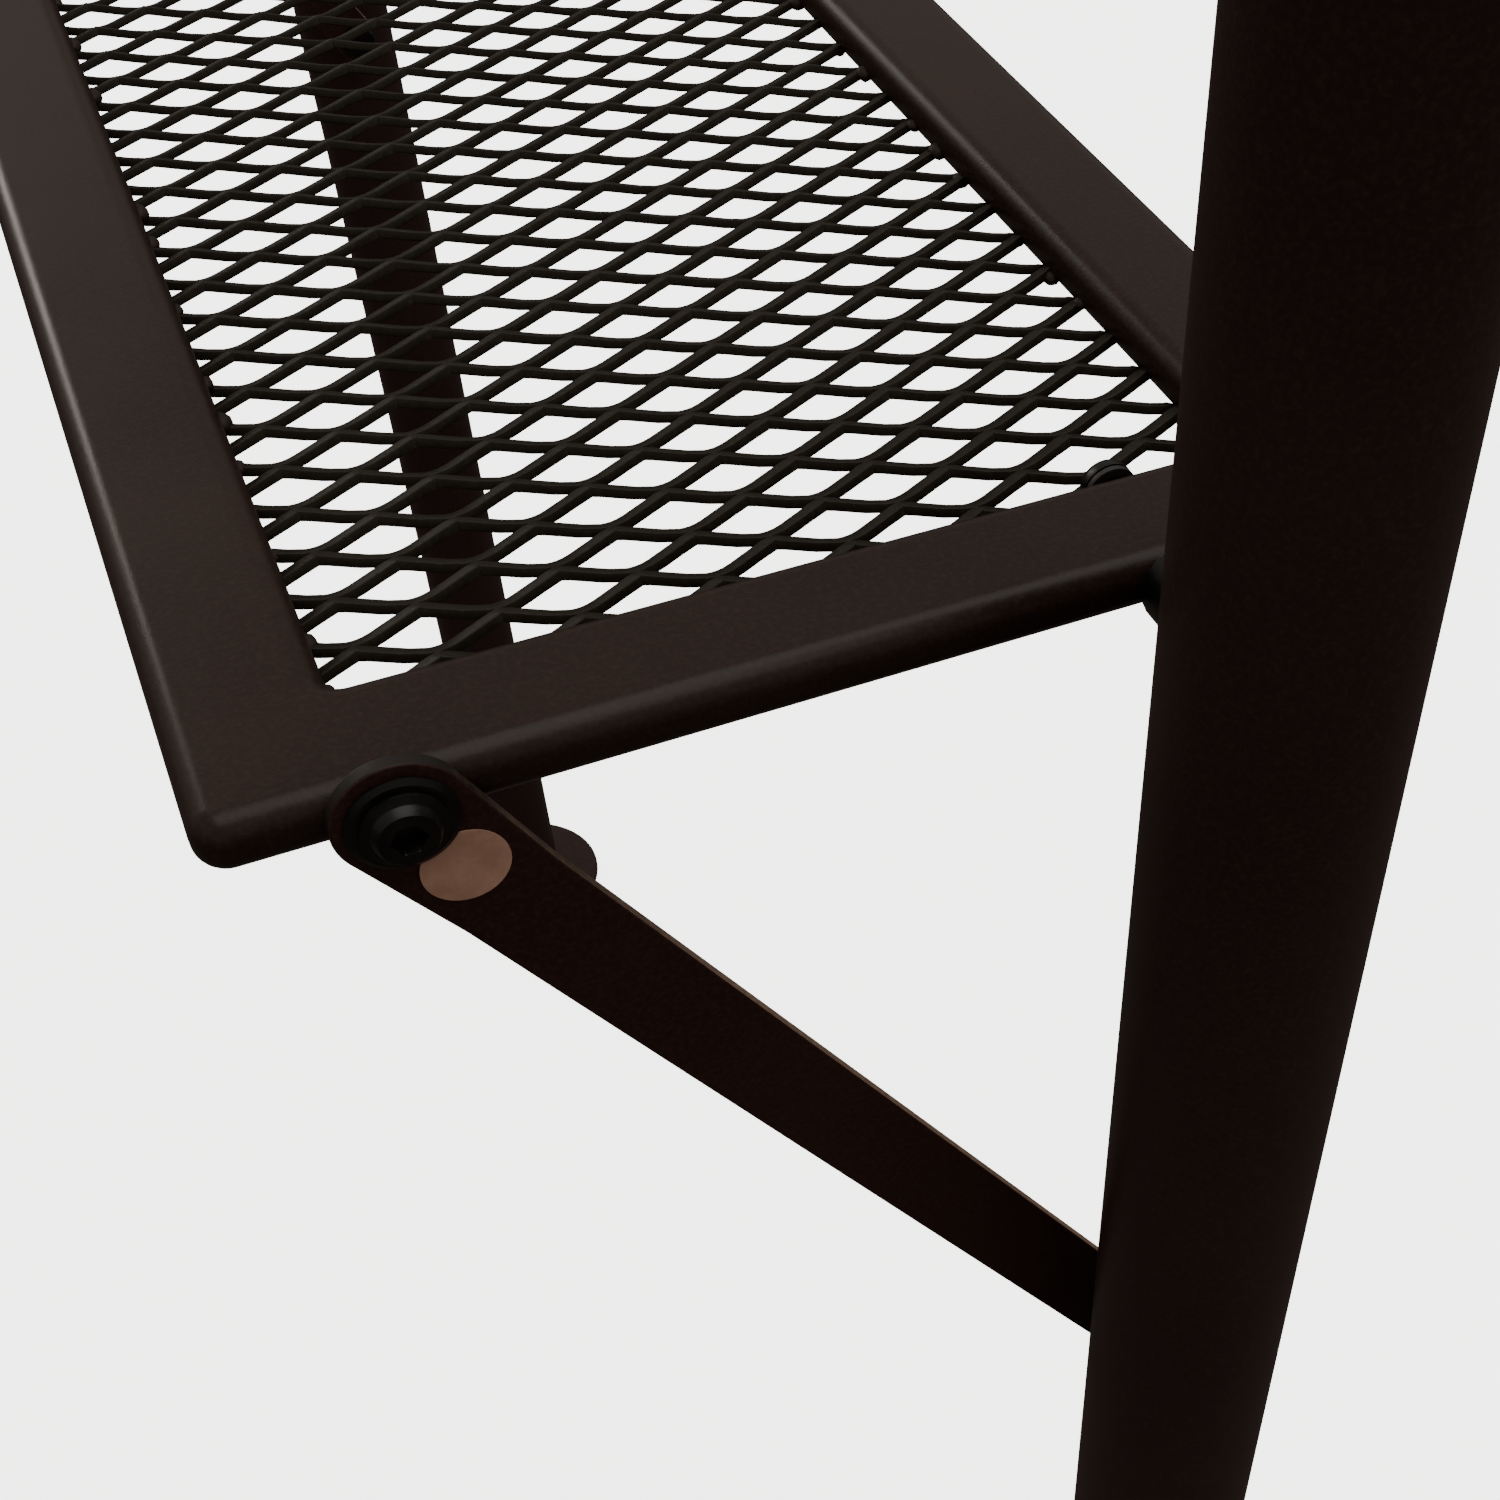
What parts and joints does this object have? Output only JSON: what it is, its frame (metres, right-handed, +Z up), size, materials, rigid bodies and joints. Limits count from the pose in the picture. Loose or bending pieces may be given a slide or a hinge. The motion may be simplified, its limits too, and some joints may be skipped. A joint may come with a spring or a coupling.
{
  "type": "folding side table",
  "caption": "Narrow expanded-metal tray that tips up between two round posts on disc feet, propped level by a notched flat brace at each end.",
  "frame": {"origin": "on the floor, under the middle of the tray", "axes": "+Z up, +Y along the tray's long side towards the far post, +X from the tray's free long edge towards the posts' side"},
  "size_m": [0.226, 0.97, 1.0663],
  "materials": {
    "tray_frame": "satin dark brown-black powder coat, fine orange-peel grain, browner where light falls",
    "tray_mesh": "dark brown-black coat on raised expanded metal, slightly rough",
    "post_coat": "satin brown-black powder coat, faint grey sheen along the tube",
    "brace_coat": "satin brown-black powder coat, worn and browner along the cut edges",
    "black_hardware": "black oxide steel, slightly glossy",
    "zinc_nuts": "zinc plate",
    "black_plastic": "moulded black plastic, fine texture",
    "foot_rubber": "black rubber",
    "label_paper": "plain tan paper label, matt"
  },
  "bodies": {
    "frame": {"near_post": "post_coat", "near_post_cap": "black_plastic", "near_foot_plate": "post_coat", "near_foot_pad": "foot_rubber", "near_pivot_bolt": "black_hardware", "near_pivot_washer": "black_plastic", "near_pivot_spacer": "black_hardware", "near_pivot_nut": "zinc_nuts", "near_rest_screw": "black_hardware", "near_rest_collar": "black_hardware", "near_rest_nut": "zinc_nuts", "far_post": "post_coat", "far_post_cap": "black_plastic", "far_foot_plate": "post_coat", "far_foot_pad": "foot_rubber", "far_pivot_bolt": "black_hardware", "far_pivot_washer": "black_plastic", "far_pivot_spacer": "black_hardware", "far_pivot_nut": "zinc_nuts", "far_rest_screw": "black_hardware", "far_rest_collar": "black_hardware", "far_rest_nut": "zinc_nuts"},
    "tray": {"outer_rail": "tray_frame", "inner_rail": "tray_frame", "near_rail": "tray_frame", "far_rail": "tray_frame", "mesh_panel": "tray_mesh", "near_brace_bolt": "black_hardware", "near_brace_washer": "black_hardware", "near_brace_nut": "zinc_nuts", "far_brace_bolt": "black_hardware", "far_brace_washer": "black_hardware", "far_brace_nut": "zinc_nuts"},
    "near_brace_body": {"near_brace": "brace_coat", "near_brace_label": "label_paper"},
    "far_brace_body": {"far_brace": "brace_coat", "far_brace_label": "label_paper"}
  },
  "joints": [
    {"name": "tray_fold", "type": "hinge", "parent": "frame", "child": "tray", "pos_m": [0.059, 0, 0.86], "axis": [0, 1, 0], "range_deg": [0, 90]},
    {"name": "near_brace_swing", "type": "hinge", "parent": "tray", "child": "near_brace_body", "pos_m": [-0.0822, -0.402, 0.86], "axis": [0, 1, 0], "range_deg": [-52, 0]},
    {"name": "far_brace_swing", "type": "hinge", "parent": "tray", "child": "far_brace_body", "pos_m": [-0.0822, 0.402, 0.86], "axis": [0, 1, 0], "range_deg": [-52, 0]}
  ],
  "couplings": [
    {"joint": "near_brace_swing", "follows": "tray_fold", "ratio": -0.56},
    {"joint": "far_brace_swing", "follows": "tray_fold", "ratio": -0.56}
  ]
}
